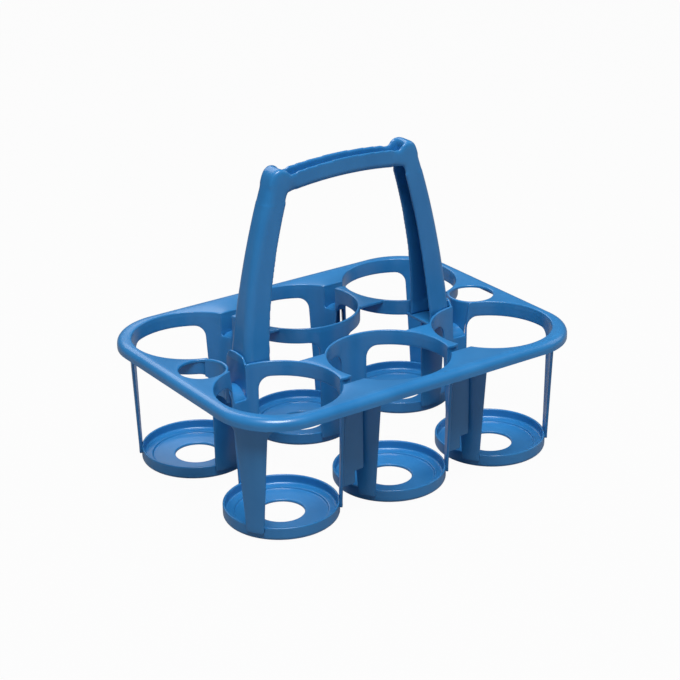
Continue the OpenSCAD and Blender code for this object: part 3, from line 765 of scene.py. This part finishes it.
def make_posts():
    for row, side in ((-1, "front"), (1, "back")):
        for column, place in ((-1, "left"), (1, "right")):
            head = mirrored(joined(bridge_wall(), sheet(side_saddle, *SIDE_SADDLE_CELLS)), column, row)
            piece(f"post_head_{side}_{place}", *head, rack_plastic, f"bridge_{side}_{place}")
            verts, faces = mirrored(post_web(), 1, row)
            if column < 0:
                verts = [(x - PITCH, y, z) for x, y, z in verts]
            piece(f"post_web_{side}_{place}", verts, faces, rack_plastic, f"web_{side}_{place}")


# Sockets for the handle, and the finger holes beside them

def socket_column():
    """Wall on the outer side of a socket, arched below and with a rounded lip above the deck."""
    arch = arc((0, END_CREST - END_CREST_R), END_CREST_R - COLUMN_DROP, 90 - COLUMN_TURN, 90 + COLUMN_TURN)
    half = ROW_Y - MID_R
    foot, top = DECK_Z - LIP_SINK, DECK_Z + LIP_H
    shoulder = LIP_HALF - LIP_SHOULDER
    outline = [(half, arch[0].y, 0)] + [(p.x, p.y, 0) for p in arch] + [
        (-half, arch[-1].y, 0), (-half, foot, 0), (-LIP_HALF, foot, LIP_FOOT_R),
        (-shoulder, top - LIP_FALL, LIP_SHOULDER_R), (0, top, LIP_CREST_R),
        (shoulder, top - LIP_FALL, LIP_SHOULDER_R), (LIP_HALF, foot, LIP_FOOT_R), (half, foot, 0)]
    loop = oriented(unique(soften(outline)), True)
    return slab(
        [(loop, COLUMN_EDGE_R)], COLUMN_X - COLUMN_WALL, COLUMN_X, COLUMN_EDGE_R,
        lambda y, z, x: (x, y, z))


def socket_shelf():
    """Floor of a socket, between the bands of two cups."""
    length = COLUMN_X - LAP - foot_low.x
    shore = []
    for i in range(SHELF_STEPS + 1):
        x = foot_low.x + length * i / SHELF_STEPS
        shore.append(Vector((x, ROW_Y - math.sqrt(MID_R ** 2 - (x - PITCH) ** 2))))
    loop = oriented(shore + [Vector((p.x, -p.y)) for p in reversed(shore)], True)
    return slab([(loop, RIB_EDGE_R)], BAND_Z, BAND_Z + HOLE_WALL, RIB_EDGE_R)


def end_saddle(u, v, side):
    """Arched floor of an end notch, from the column to the finger hole's wall."""
    across = 2 * v - 1
    near = COLUMN_X - END_SADDLE_LAP
    far = HOLE_X - math.sqrt((HOLE_R + HOLE_WALL - HOLE_SADDLE_LAP) ** 2 - (END_SADDLE_HALF * across) ** 2)
    x = near + (far - near) * u
    reach = ROW_Y - math.sqrt((MID_R - END_SADDLE_LAP) ** 2 - (x - PITCH) ** 2)
    y = min(reach, END_CREST_R - END_SADDLE_LAP) * across
    return x, y, END_CREST - END_CREST_R + math.sqrt(END_CREST_R ** 2 - y * y) - WALL * side


def finger_wall(u, v, side):
    """Wall behind a finger hole: deep between the inner legs, rising to the bands at both ends."""
    turn = math.radians(180 + HOLE_TURN * (2 * u - 1))
    radius = HOLE_R + HOLE_WALL - HOLE_GAP - (HOLE_WALL - 2 * HOLE_GAP) * side
    off = abs((HOLE_R + HOLE_WALL) * math.sin(turn))
    share = min(1.0, max(0.0, (off - HOLE_FLAT) / HOLE_RISE_W))
    low = HOLE_WALL_LOW + HOLE_RISE_H * math.sqrt(1 - (1 - share) ** 2)
    high = UNDER_Z + HOLE_LAP
    return HOLE_X + radius * math.cos(turn), radius * math.sin(turn), low + (high - low) * v


def make_sockets():
    for side, place in ((-1, "left"), (1, "right")):
        socket = mirrored(joined(socket_column(), socket_shelf()), side, 1)
        piece(f"handle_socket_{place}", *socket, rack_plastic, f"socket_{place}")
        wall = joined(sheet(finger_wall, *FINGER_WALL_CELLS), sheet(end_saddle, *END_SADDLE_CELLS))
        piece(f"finger_wall_{place}", *mirrored(wall, side, 1), rack_plastic, f"pocket_wall_{place}")


# Floor, light and camera

def floor_material():
    """Grey to the light, so that it stays dim under the object, and almost white to the camera."""
    material = bpy.data.materials.new("floor_pale")
    material.use_nodes = True
    g = Graph(material.node_tree)
    seen = g.wire("ShaderNodeLightPath", "Is Camera Ray")
    matt = g.node("ShaderNodeBsdfDiffuse", Color=FLOOR_GREY)
    glow = g.node("ShaderNodeEmission", Color=WHITE, Strength=1.0)
    mix = g.node("ShaderNodeMixShader", Fac=seen * FLOOR_WHITE)
    g.feed(mix.inputs[1], matt.outputs["BSDF"])
    g.feed(mix.inputs[2], glow.outputs["Emission"])
    g.node("ShaderNodeOutputMaterial", Surface=mix.outputs["Shader"])
    return material


def make_floor():
    mesh = bpy.data.meshes.new("floor")
    corners = [(x * FLOOR_HALF, y * FLOOR_HALF, 0) for x, y in ((-1, -1), (1, -1), (1, 1), (-1, 1))]
    mesh.from_pydata(corners, [], [(0, 1, 2, 3)])
    mesh.materials.append(floor_material())
    linked("floor", mesh)


def make_world():
    world = bpy.data.worlds.new("studio")
    bpy.context.scene.world = world
    world.use_nodes = True
    g = Graph(world.node_tree)
    seen = g.wire("ShaderNodeLightPath", "Is Camera Ray")
    shade = g.node("ShaderNodeBackground", Color=WHITE, Strength=WORLD_LIGHT + seen * (1 - WORLD_LIGHT))
    g.node("ShaderNodeOutputWorld", Surface=shade.outputs["Background"])


def make_lamp(name, place, aim, size, power):
    data = bpy.data.lights.new(name, "AREA")
    data.shape = "RECTANGLE"
    data.size, data.size_y = size
    data.energy = power
    lamp = linked(name, data)
    lamp.location = place
    lamp.rotation_mode = "QUATERNION"
    lamp.rotation_quaternion = (Vector(aim) - Vector(place)).to_track_quat("-Z", "Y")


def make_camera():
    azimuth, elevation, roll = [math.radians(a) for a in (CAMERA_AZIMUTH, CAMERA_ELEVATION, CAMERA_ROLL)]
    back = Vector((
        math.sin(azimuth) * math.cos(elevation),
        -math.cos(azimuth) * math.cos(elevation),
        math.sin(elevation)))
    level = Vector((math.cos(azimuth), math.sin(azimuth), 0))
    right = level * math.cos(roll) + back.cross(level) * math.sin(roll)
    up = back.cross(right)
    eye = (CAMERA_TARGET + back * CAMERA_DISTANCE) * MM
    data = bpy.data.cameras.new("camera")
    data.sensor_width = CAMERA_SENSOR
    data.lens = CAMERA_LENS
    data.clip_start, data.clip_end = CAMERA_NEAR, CAMERA_FAR
    camera = linked("camera", data)
    camera.matrix_world = Matrix.Translation(eye) @ Matrix((right, up, back)).transposed().to_4x4()
    bpy.context.scene.camera = camera


dress_nodes()
make_handle()
make_saucers()
make_cups()
make_plates()
make_posts()
make_sockets()
make_floor()
make_world()
for lamp in LAMPS:
    make_lamp(*lamp)
make_camera()
bpy.context.scene.view_settings.view_transform = "Standard"
